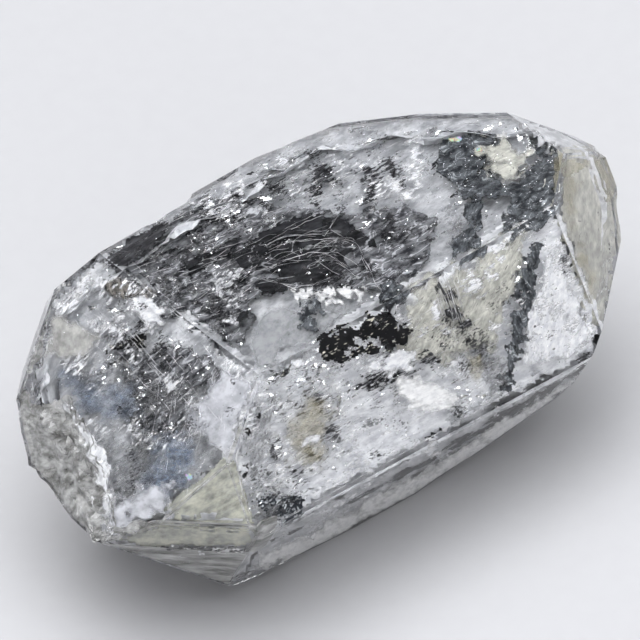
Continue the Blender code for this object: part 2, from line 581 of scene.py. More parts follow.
def filmPlan(face, material, depth, crumple, seed, cell, grainTurn, outline, **more):
    # sizes in mm, the grain's turn in degrees, the outline x and y by turns in pixels
    return {**plain, "face": face, "material": material, "depth": depth, "crumple": crumple,
            "seed": seed, "cell": cell, "grainTurn": grainTurn, "outline": pairs(outline), **more}


def lookMiddle(look):
    return 0.5 - (look["cover"] - 0.5) * 0.5


def film(name, plan):
    # one sheet: a grid pressed into the crystal and torn along its outline
    outline = plan["outline"]
    unit = view["pixel"] if plan["picture"] else 1.0
    place = underPicture(plan["face"]) if plan["picture"] else underFace(plan["face"])
    look = looks[plan["material"]]
    seed = plan["seed"]
    cell = plan["cell"] / unit
    tear = plan["tear"] / unit
    xs = [p[0] for p in outline]
    ys = [p[1] for p in outline]
    x0, x1 = min(xs) - tear, max(xs) + tear
    y0, y1 = min(ys) - tear, max(ys) + tear
    unselect()
    bpy.ops.mesh.primitive_grid_add(
        x_subdivisions=max(inner["leastCells"], int((x1 - x0) / cell)),
        y_subdivisions=max(inner["leastCells"], int((y1 - y0) / cell)), size=2.0,
    )
    sheet = bpy.context.active_object
    sheet.name = name
    mesh = sheet.data
    co = readPoints(mesh)
    x = (x0 + x1) / 2.0 + co[:, 0] * (x1 - x0) / 2.0
    y = (y0 + y1) / 2.0 + co[:, 1] * (y1 - y0) / 2.0
    spread = inner["jitter"]
    jitter = np.random.default_rng(seed + 9).uniform(-spread, spread, (len(x), 2)) * cell
    x = x + jitter[:, 0]
    y = y + jitter[:, 1]
    depth = plan["depth"] + plan["crumple"] * rough(x, y, inner["wave"] / unit, seed)
    points = keepInside(place(x, y, np.maximum(depth, inner["leastDepth"])), inner["filmMargin"])
    mesh.vertices.foreach_set("co", points.ravel())

    def inward(x, y):
        return outlineDepth(x, y, outline) + tear * rough(x, y, plan["tearSize"] / unit, seed + 5)

    fade = np.clip(inward(x, y) * unit / plan["fade"], 0.0, 1.0) if plan["fade"] else 1.0
    clumps = 0.5 + inner["clumping"] * rough(x, y, look["patch"] / unit, seed + 40)
    amount = clumps * look["patchShare"] - inner["fadeLoss"] * (1.0 - fade)
    writeCover(mesh, amount)
    turn = math.radians(plan["grainTurn"])
    u = (x * math.cos(turn) - y * math.sin(turn)) * unit
    v = (x * math.sin(turn) + y * math.cos(turn)) * unit
    writeUv(mesh, np.column_stack((u, v)))

    # what lies outside the outline, or would be clear anyway, is torn away
    corners = np.array([list(p.vertices) for p in mesh.polygons])
    midX = x[corners].mean(axis=1)
    midY = y[corners].mean(axis=1)
    keep = inward(midX, midY) > 0.0
    least = lookMiddle(look) - look["soft"] - (1.0 - look["patchShare"]) * inner["reach"]
    keep &= amount[corners].max(axis=1) > least
    if plan["holes"]:
        value = rough(midX, midY, plan["holeSize"] / unit, seed + 20)
        keep &= value > inner["holeLow"] + inner["holeSpan"] * plan["holes"]
    work = bmesh.new()
    work.from_mesh(mesh)
    work.faces.ensure_lookup_table()
    gone = [work.faces[i] for i in range(len(keep)) if not keep[i]]
    bmesh.ops.delete(work, geom=gone, context="FACES")
    work.to_mesh(mesh)
    work.free()
    if len(mesh.polygons) == 0:
        bpy.data.objects.remove(sheet)
        return None
    turnFacesOut(sheet)
    thicken(sheet, inner["thickness"])
    bpy.ops.object.shade_smooth()
    return sheet


def buildFilms(name, plans):
    sheets = []
    for key, plan in plans.items():
        sheet = film(name + "_" + key, plan)
        if sheet is not None:
            sheet.data.materials.clear()
            sheet.data.materials.append(veils[plan["material"]])
            sheets.append(sheet)
    unselect()
    for sheet in sheets:
        sheet.select_set(True)
    bpy.context.view_layer.objects.active = sheets[0]
    bpy.ops.object.join()
    piece = bpy.context.active_object
    piece.name = name
    finishInside(piece)


# Materials for the inside. A look has its colour and shade, then in mm the size of its grains
# and of its clumps, the share it covers, how soft its edges are and how far its grains are drawn out
usual = {"patchShare": 0.4, "most": 1.0, "speck": 0.25, "bump": 0.6, "roughness": 0.45,
         "specular": 0.3, "threadLow": 0.42}
grains = {
    "noise": (0.3, 0.7),      # where nearly all of a noise lies
    "tones": (0.35, 0.65),    # the same, from shade to colour
    "bumpHeight": 0.1,        # mm
    "foldBend": 0.6,          # how far a pale thread wanders
    "threadCore": 0.3,        # share of its width with the full tone
    "threadMost": 0.9,
    "threadSoft": 0.14,       # noise over which a thread breaks off
    "plateBend": 1.6,         # how ragged the plates are, in plates
}


def lookPlan(colour, shade, grain, patch, cover, soft, stretch, **more):
    return {**usual, "colour": colour, "shade": shade, "grain": grain, "patch": patch,
            "cover": cover, "soft": soft, "stretch": stretch, **more}


def grainWay(tree, look):
    where = addNode(tree, "TexCoord", {})["UV"]
    scale = (1.0 / look["stretch"], 1.0, 1.0)
    return addNode(tree, "Mapping", {"Vector": where, "Scale": scale})["Vector"]


def flatNoise(tree, where, size, detail, roughness, distortion=0.0):
    return addNode(tree, "TexNoise", {
        "Vector": where, "Scale": 1.0 / size, "Detail": detail, "Roughness": roughness,
        "Distortion": distortion,
    }, noise_dimensions="2D")


def flatCells(tree, where, size):
    inputs = {"Vector": where, "Scale": 1.0 / size}
    return addNode(tree, "TexVoronoi", inputs, voronoi_dimensions="2D")["Color"]


def mathNode(tree, operation, *values):
    return addNode(tree, "Math", dict(enumerate(values)), operation=operation)[0]


def filmCover(tree, grain, look):
    # the mesh holds where a film is thick or thin, and the grains break it up
    patch = addNode(tree, "Attribute", {}, attribute_name="cover")["Fac"]
    total = mathNode(tree, "MULTIPLY_ADD", grain, 1.0 - look["patchShare"], patch)
    middle = lookMiddle(look)
    return addMap(tree, total, 0.0, look["most"], middle - look["soft"], middle + look["soft"])


def wander(tree, value, middle, spread):
    # roughness wanders with a noise
    return addMap(tree, value, middle + spread, middle - spread, *grains["noise"])


def addThreads(tree, where, speck, under, look):
    # pale threads along the folds of a noise, broken off here and there
    width, low = look["threadWidth"], look["threadLow"]
    fold = flatNoise(tree, where, look["thread"], 2.0, 0.6, grains["foldBend"])["Fac"]
    away = mathNode(tree, "ABSOLUTE", mathNode(tree, "SUBTRACT", fold, 0.5))
    line = addMap(tree, away, 0.0, 1.0, width, width * grains["threadCore"])
    part = addMap(tree, speck, 0.0, grains["threadMost"], low, low + grains["threadSoft"])
    return addNode(tree, "Mix", {
        0: mathNode(tree, "MULTIPLY", line, part), 6: under, 7: (*look["threadColour"], 1.0),
    }, data_type="RGBA")[2]


def veilMaterial(name, look):
    # a film broken into grains: colour, cover and sheen vary over it
    material, tree = newMaterial(name)
    where = grainWay(tree, look)
    grain = flatNoise(tree, where, look["grain"], 3.0, 0.7)["Fac"]
    speck = flatNoise(tree, where, look["speck"], 3.0, 0.65)["Fac"]
    tone = addRamp(tree, speck, list(zip(grains["tones"], (look["shade"], look["colour"]))))
    if "thread" in look:
        tone = addThreads(tree, where, speck, tone, look)
    inputs = {
        "Base Color": tone, "Alpha": filmCover(tree, grain, look),
        "Roughness": wander(tree, speck, look["roughness"], 0.12),
        "Specular IOR Level": look["specular"],
    }
    if look["bump"]:
        inputs["Normal"] = addBump(tree, speck, look["bump"], grains["bumpHeight"])
    addSurface(tree, inputs)
    return material


def mirrorMaterial(name, look):
    # air-filled crack: small plates, each tipped its own way, mirror the room
    material, tree = newMaterial(name)
    where = grainWay(tree, look)
    grain = flatNoise(tree, where, look["grain"], 4.0, 0.75)
    bent = addNode(tree, "VectorMath", {
        0: grain["Color"], 1: (look["plate"] * grains["plateBend"],) * 3, 2: where,
    }, operation="MULTIPLY_ADD")["Vector"]
    tip = addNode(tree, "Mix", {
        0: look["tip"], 6: (0.5, 0.5, 1.0, 1.0), 7: flatCells(tree, bent, look["plate"]),
    }, data_type="RGBA")[2]
    addSurface(tree, {
        "Base Color": (*look["colour"], 1.0), "Metallic": 1.0,
        "Roughness": wander(tree, grain["Fac"], look["roughness"], 0.05),
        "Normal": addNode(tree, "NormalMap", {"Color": tip})["Normal"],
        "Alpha": filmCover(tree, grain["Fac"], look),
    })
    return material


def speckledMaterial(name, look):
    # dark film with small pale grains strewn over it: painted shade, in place of the dark seen through
    # clear quartz
    material, tree = newMaterial(name)
    where = grainWay(tree, look)
    pick = addNode(tree, "SeparateColor", {"Color": flatCells(tree, where, look["speck"])})[0]
    clump = flatNoise(tree, where, look["grain"], 4.0, 0.7)["Fac"]
    total = mathNode(tree, "MULTIPLY", pick, clump)
    stops = [(look["low"], look["shade"]), (look["high"], look["colour"])]
    addSurface(tree, {
        "Base Color": addRamp(tree, total, stops),
        "Roughness": wander(tree, clump, 0.4, 0.1), "Specular IOR Level": 0.1,
        "Alpha": filmCover(tree, clump, look),
    })
    return material


def rainbowMaterial(name, look):
    # a crack thin enough to show interference colours, painted into its base colour as a painted
    # reflection
    material, tree = newMaterial(name)
    gap = flatNoise(tree, grainWay(tree, look), look["grain"], 2.0, 0.5)["Fac"]
    addSurface(tree, {
        "Base Color": addRamp(tree, gap, look["bands"]), "Roughness": wander(tree, gap, 0.25, 0.08),
        "Alpha": filmCover(tree, gap, look),
    })
    return material


veilLooks = {
    "milk": lookPlan((0.8, 0.81, 0.84), (0.42, 0.43, 0.46), 0.9, 4.0, 0.95, 0.2, 2.6, speck=0.6,
        most=0.95),
    # painted shade: a dark haze, with pale threads, that darkens the top left
    "shadeHaze": lookPlan((0.265, 0.27, 0.288), (0.026, 0.027, 0.032), 0.6, 2.2, 0.8, 0.1, 2.6, speck=0.45,
        bump=0.0, most=0.95, thread=0.9, threadWidth=0.035, threadColour=(0.68, 0.69, 0.73),
        specular=0.1),
    "pale": lookPlan((0.82, 0.83, 0.88), (0.52, 0.53, 0.57), 1.0, 3.0, 1.0, 0.2, 1.4, speck=0.9,
        bump=0.2, most=0.8),
    # painted shade: a dark film with pale threads, for the darkest places
    "slateShade": lookPlan((0.135, 0.146, 0.16), (0.016, 0.018, 0.022), 0.45, 1.6, 0.88, 0.1, 1.8, speck=0.5,
        bump=0.0, patchShare=0.5, specular=0.1, thread=0.7, threadWidth=0.022,
        threadColour=(0.5, 0.53, 0.56), threadLow=0.46),
    "white": lookPlan((0.98, 0.98, 0.985), (0.76, 0.765, 0.78), 0.6, 1.6, 0.95, 0.22, 2.0, speck=0.3,
        bump=0.0, most=0.95),
    "ripple": lookPlan((0.34, 0.315, 0.285), (0.05, 0.046, 0.042), 0.5, 1.5, 0.75, 0.16, 5.0,
        speck=0.35, bump=0.0, most=0.85, specular=0.1),
    # painted shade: the gap looks are dark films in place of the dark seen through clear quartz
    "shadeGaps": lookPlan((0.07, 0.07, 0.078), (0.012, 0.012, 0.014), 0.22, 1.5, 0.3, 0.035, 3.8,
        patchShare=0.5, roughness=0.4, bump=0.0, specular=0.1),
    "softShadeGaps": lookPlan((0.36, 0.365, 0.38), (0.16, 0.162, 0.17), 0.4, 2.4, 0.42, 0.12, 2.4,
        patchShare=0.5, roughness=0.4, bump=0.0, most=0.65, specular=0.1),
    "denseShadeGaps": lookPlan((0.075, 0.075, 0.082), (0.012, 0.012, 0.014), 0.2, 1.4, 0.62, 0.05, 9.0,
        patchShare=0.3, roughness=0.4, bump=0.0, specular=0.1),
    "frost": lookPlan((0.66, 0.66, 0.66), (0.2, 0.2, 0.19), 0.7, 2.0, 0.62, 0.18, 1.6, speck=0.9,
        most=0.85, bump=0.4),
    "olive": lookPlan((0.54, 0.54, 0.46), (0.3, 0.305, 0.28), 0.9, 2.2, 0.9, 0.2, 2.0, speck=0.7,
        bump=0.2),
    "creamSoft": lookPlan((0.72, 0.715, 0.69), (0.4, 0.395, 0.38), 1.1, 2.2, 0.7, 0.25, 1.5, speck=0.9,
        bump=0.15),
    # painted shade: fine dark gaps
    "fineShadeGaps": lookPlan((0.08, 0.08, 0.088), (0.014, 0.014, 0.016), 0.14, 1.2, 0.2, 0.03, 2.4,
        patchShare=0.5, roughness=0.4, bump=0.0, specular=0.1),
    "streaks": lookPlan((0.97, 0.97, 0.98), (0.7, 0.71, 0.75), 0.3, 1.6, 0.3, 0.04, 3.2,
        patchShare=0.45, roughness=0.3),
    "smooth": lookPlan((0.5, 0.51, 0.53), (0.36, 0.37, 0.39), 0.9, 3.0, 0.9, 0.25, 1.4, speck=0.9,
        bump=0.0, most=0.7),
    "granular": lookPlan((0.84, 0.85, 0.87), (0.16, 0.16, 0.18), 0.45, 2.0, 0.62, 0.05, 2.0),
    "bright": lookPlan((0.96, 0.965, 0.98), (0.66, 0.67, 0.71), 0.5, 2.4, 0.75, 0.12, 2.0, speck=0.35,
        bump=0.2),
    # painted shade: the darkest film, with pale threads, for the dark windows
    "dark": lookPlan((0.036, 0.037, 0.042), (0.003, 0.003, 0.004), 0.4, 2.2, 1.0, 0.06, 3.0, speck=0.5,
        roughness=0.4, bump=0.0, specular=0.1, thread=1.6, threadWidth=0.018,
        threadColour=(0.45, 0.46, 0.48)),
    "cream": lookPlan((0.76, 0.755, 0.69), (0.44, 0.435, 0.395), 0.8, 3.0, 0.75, 0.22, 3.0, speck=0.3,
        bump=0.2, thread=0.7, threadWidth=0.022, threadColour=(0.12, 0.12, 0.11), threadLow=0.5),
    "stain": lookPlan((0.56, 0.51, 0.33), (0.26, 0.22, 0.12), 0.6, 1.8, 0.6, 0.26, 2.0, bump=0.0,
        most=0.45),
    "blueHaze": lookPlan((0.38, 0.44, 0.54), (0.075, 0.1, 0.155), 0.6, 1.5, 0.62, 0.24, 1.4, speck=0.5,
        bump=0.0, most=0.75),
    "lilac": lookPlan((0.93, 0.942, 0.97), (0.6, 0.61, 0.65), 0.8, 3.0, 1.1, 0.2, 2.4, speck=0.6,
        most=1.0),
}
mirrorLooks = {
    "crackle": lookPlan((0.97, 0.975, 0.98), None, 0.6, 2.5, 0.26, 0.02, 2.6, plate=0.55, tip=0.45,
        roughness=0.12),
    "crackleFine": lookPlan((0.97, 0.975, 0.98), None, 0.35, 1.6, 0.30, 0.02, 1.8, plate=0.26, tip=0.55,
        roughness=0.12),
}
# painted shade: dark films with pale grains
speckledLooks = {
    "saltPepper": lookPlan((0.72, 0.75, 0.78), (0.026, 0.030, 0.038), 1.1, 2.0, 1.2, 0.06, 1.4,
        speck=0.13, low=0.30, high=0.62),
    "blackSpeckled": lookPlan((0.80, 0.78, 0.68), (0.008, 0.008, 0.009), 0.7, 1.2, 0.74, 0.05, 2.4,
        speck=0.10, low=0.46, high=0.60, patchShare=0.55),
}
rainbowLooks = {
    "rainbow": lookPlan(None, None, 0.45, 1.0, 0.8, 0.1, 1.0, most=0.8, bands=[
        (0.34, (0.75, 0.45, 0.50)), (0.42, (0.85, 0.72, 0.40)), (0.50, (0.45, 0.78, 0.52)),
        (0.58, (0.40, 0.62, 0.85)), (0.66, (0.72, 0.50, 0.80)),
    ]),
}
looks = {**veilLooks, **mirrorLooks, **speckledLooks, **rainbowLooks}
veils = {name: veilMaterial("veil_" + name, look) for name, look in veilLooks.items()}
veils.update({name: mirrorMaterial("crack_" + name, look) for name, look in mirrorLooks.items()})
veils.update({name: rainbowMaterial("film_" + name, look) for name, look in rainbowLooks.items()})
veils.update({name: speckledMaterial("film_" + name, look) for name, look in speckledLooks.items()})
print("inner materials:", len(veils))


# Deep haze that fills the crystal behind everything else
topOutline = [108,256, 170,208, 300,136, 400,118, 506,116, 556,155, 550,204, 258,370]
frontOutline = [260,380, 552,213, 598,332, 590,350, 264,526, 250,520, 235,461]
leftOutline = [106,258, 255,377, 228,458, 158,512, 112,520, 60,400, 54,300]
haze = {
    "top": filmPlan("top", "milk", 3.6, 0.7, 11, 0.35, 28.0, topOutline),
    "front": filmPlan("frontUpper", "lilac", 2.6, 0.5, 12, 0.35, 26.0, frontOutline),
    "frontLow": filmPlan("frontLower", "milk", 1.6, 0.3, 13, 0.3, 30.0, [590,357, 574,378, 246,578,
        262,536]),
    "leftUp": filmPlan("leftTop", "milk", 3.2, 0.7, 14, 0.35, 40.0, leftOutline),
    "leftFront": filmPlan("leftFrontUpper", "olive", 1.8, 0.3, 15, 0.16, 30.0, [229,462, 250,526,
        158,519], tear=0.12),
    "leftLow": filmPlan("leftFrontLower", "milk", 1.4, 0.2, 16, 0.3, 0.0, [162,522, 250,530, 258,536,
        241,578, 150,556, 120,535]),
    "rightFront": filmPlan("rightFrontUpper", "cream", 1.8, 0.3, 17, 0.3, 90.0, [565,157, 558,207,
        601,328, 621,240, 616,187, 604,154]),
    "rightUp": filmPlan("rightTop", "milk", 1.4, 0.3, 18, 0.3, -30.0, [512,115, 564,150, 602,148]),
    # painted shade: dark haze films over the milk at the top left
    "topShade": filmPlan("top", "shadeHaze", 2.5, 0.4, 19, 0.3, 28.0, [112,257, 150,228, 176,212, 215,186,
        250,190, 290,206, 350,206, 400,205, 446,214, 440,250, 412,280, 380,300, 330,296, 262,300,
        246,356, 190,322, 140,285], tear=0.7, fade=0.5),
    "leftShade": filmPlan("leftTop", "shadeHaze", 2.4, 0.4, 20, 0.3, 40.0, [100,330, 150,340, 215,350,
        238,372, 200,398, 182,440, 150,470, 128,440, 104,390], tear=0.9, fade=1.2),
}
buildFilms("deep_haze", haze)


# Crack films that mirror the room, in pieces
cracks = {
    "topA": filmPlan("top", "crackle", 2.6, 0.6, 51, 0.25, 28.0, topOutline),
    "topB": filmPlan("top", "crackleFine", 1.2, 0.4, 52, 0.25, 28.0, [112,256, 170,212, 260,160,
        300,190, 250,240, 262,300, 240,355], holes=0.45),
    "frontA": filmPlan("frontUpper", "crackle", 1.6, 0.4, 53, 0.25, 26.0, frontOutline),
    "frontB": filmPlan("frontUpper", "crackleFine", 0.9, 0.3, 54, 0.25, 40.0, [260,385, 310,355,
        370,352, 350,400, 330,480, 264,522, 240,470]),
    "leftA": filmPlan("leftTop", "crackle", 2.0, 0.6, 55, 0.25, 40.0, leftOutline, holes=0.3),
    "leftB": filmPlan("leftTop", "crackleFine", 1.0, 0.4, 56, 0.25, 20.0, [106,262, 220,350, 200,420,
        130,460, 80,400, 120,340, 70,290], holes=0.2),
}
buildFilms("crack_films", cracks)


# The faces that the photograph doesn't show are filled in the same manner
unseen = {
    "faces": ["bottom", "backLower", "backUpper", "rightFrontLower", "rightBottom", "rightBackLower",
              "rightBackUpper", "leftBottom", "leftBackLower", "leftBackUpper", "backShoulderLow",
              "backShoulderHigh", "underRight", "underRightCorner", "underLeft"],
    "layers": [     # material, depth, crumple, and how far it is drawn in from the edges
        ("lilac", 2.4, 0.7, 0.6),
        # painted shade: a layer of dark gaps
        ("shadeGaps", 2.0, 0.5, 0.8),
        ("crackle", 1.6, 0.5, 0.8),
        ("streaks", 1.2, 0.4, 0.8),
    ],
    "cell": 0.6,
    "grainTurn": (-30.0, 60.0),
    "seed": 7,
}


def faceOutline(face, inset):
    # outline of a face in its own mm, drawn in from the edges
    centre, along, across = facePatch(face)
    spots = set()
    for corner in faceCorners(face):
        away = corner - centre
        spots.add((round(float(away @ along) / mm, 3), round(float(away @ across) / mm, 3)))
    spots = sorted(spots)

    def side(points):
        chain = []
        for p in points:
            while len(chain) > 1:
                ax = chain[-1][0] - chain[-2][0]
                ay = chain[-1][1] - chain[-2][1]
                if ax * (p[1] - chain[-2][1]) - ay * (p[0] - chain[-2][0]) > 0.0:
                    break
                chain.pop()
            chain.append(p)
        return chain[:-1]

    hull = side(spots) + side(spots[::-1])
    midX = sum(p[0] for p in hull) / len(hull)
    midY = sum(p[1] for p in hull) / len(hull)
    drawn = []
    for x, y in hull:
        reach = math.hypot(x - midX, y - midY)
        share = max(0.2, 1.0 - inset / max(reach, 0.01))
        drawn += [midX + (x - midX) * share, midY + (y - midY) * share]
    return drawn


def unseenPlans():
    plans = {}
    rng = random.Random(unseen["seed"])
    for face in unseen["faces"]:
        for number, (material, depth, crumple, inset) in enumerate(unseen["layers"]):
            seed = rng.randrange(1000, 9000)
            turn = rng.uniform(*unseen["grainTurn"])
            plans[face + "_" + str(number)] = filmPlan(
                face, material, depth, crumple, seed, unseen["cell"], turn, faceOutline(face, inset),
                picture=False,
            )
    return plans


buildFilms("back_veils", unseenPlans())


# The hackly break is frosted just under its surface
frost = {
    "right": -17.0,       # mm, the break lies left of this
    "depth": 0.35,        # mm
    "margin": 0.2,        # mm
    "flat": 0.9985,       # cosine, for the smooth faces that are left out
    "near": 0.06,         # mm, for the same
    "cover": 0.25,
    "lean": 0.5,          # how the grain runs over the break
}


def breakFrost():
    piece = bpy.data.objects.new("break_frost", skinPiece.data.copy())
    scene.collection.objects.link(piece)
    mesh = piece.data
    mesh.materials.clear()
    work = bmesh.new()
    work.from_mesh(mesh)
    gone = []
    for face in work.faces:
        centre = face.calc_center_median()
        flat = centre.x > frost["right"] * mm
        for normal, offset in planes.values():
            near = abs(centre.dot(normal) - offset) < frost["near"] * mm
            flat |= near and face.normal.dot(normal) > frost["flat"]
        if flat:
            gone.append(face)
    bmesh.ops.delete(work, geom=gone, context="FACES")
    for vert in work.verts:
        vert.co -= vert.normal * frost["depth"] * mm
    work.to_mesh(mesh)
    work.free()
    points = keepInside(readPoints(mesh), frost["margin"])
    mesh.vertices.foreach_set("co", points.ravel())
    writeUv(mesh, np.column_stack((points[:, 1] + frost["lean"] * points[:, 0], points[:, 2])) / mm)
    writeCover(mesh, np.full(len(points), frost["cover"]))
    thicken(piece, inner["thickness"])
    mesh = piece.data
    mesh.materials.append(veils["frost"])
    finishInside(piece)


breakFrost()


# Dark gaps of painted shade and pale streaks that break the haze up
broken = {
    "topShadeGaps": filmPlan("top", "shadeGaps", 2.2, 0.6, 61, 0.3, 28.0, [116,262, 176,216, 300,152, 420,140,
        430,150, 424,262, 330,300, 262,305, 240,352], fade=1.0),
    "topStreaks": filmPlan("top", "streaks", 1.5, 0.5, 62, 0.3, 28.0, [186,204, 300,142, 440,130,
        430,200, 300,205, 235,222, 196,230]),
    "frontShadeGaps": filmPlan("frontUpper", "shadeGaps", 1.8, 0.4, 63, 0.3, 26.0, [260,382, 400,300, 505,245,
        500,370, 380,430, 330,486, 264,524, 238,465], fade=1.5),
    "frontStreaks": filmPlan("frontUpper", "streaks", 1.2, 0.4, 64, 0.3, 30.0, frontOutline),
    "leftShadeGaps": filmPlan("leftTop", "shadeGaps", 2.0, 0.5, 65, 0.3, 35.0, [106,262, 240,366, 225,395,
        160,400, 110,385, 104,345, 64,300], fade=1.5),
    "leftSoft": filmPlan("leftTop", "softShadeGaps", 1.9, 0.5, 78, 0.3, 35.0, [60,360, 120,370, 250,385,
        228,458, 158,512, 112,515], fade=0.8),
    "leftStreaks": filmPlan("leftTop", "streaks", 1.4, 0.5, 66, 0.3, 45.0, leftOutline),
    "striae": filmPlan("top", "denseShadeGaps", 0.7, 0.1, 79, 0.2, 32.0, [110,258, 148,228, 168,218,
        150,244, 124,264], tear=0.4),
    "lowStreaks": filmPlan("frontLower", "streaks", 0.6, 0.15, 67, 0.25, 31.0, [590,358, 574,378,
        246,578, 262,538]),
    "leftLowStreaks": filmPlan("leftFrontLower", "streaks", 0.6, 0.15, 68, 0.25, 5.0, [140,548,
        256,550, 241,578, 150,558]),
    "lowBright": filmPlan("frontLower", "white", 0.5, 0.1, 118, 0.16, 31.0, [586,366, 500,420, 400,480,
        300,536, 264,550, 248,576, 300,558, 420,498, 520,434, 576,380], tear=0.3, tearSize=0.8,
        fade=0.6),
    "topFine": filmPlan("top", "fineShadeGaps", 0.8, 0.3, 69, 0.3, 30.0, [112,258, 170,212, 300,142,
        430,130, 430,262, 330,300, 262,305, 240,352]),
    "frontFine": filmPlan("frontUpper", "fineShadeGaps", 0.7, 0.3, 70, 0.3, 40.0, frontOutline),
    "leftFine": filmPlan("leftTop", "fineShadeGaps", 0.8, 0.3, 77, 0.3, 30.0, [110,262, 250,377, 226,458,
        160,505, 112,510, 104,400, 120,340, 72,286], fade=0.8),
}
buildFilms("broken_veils", broken)
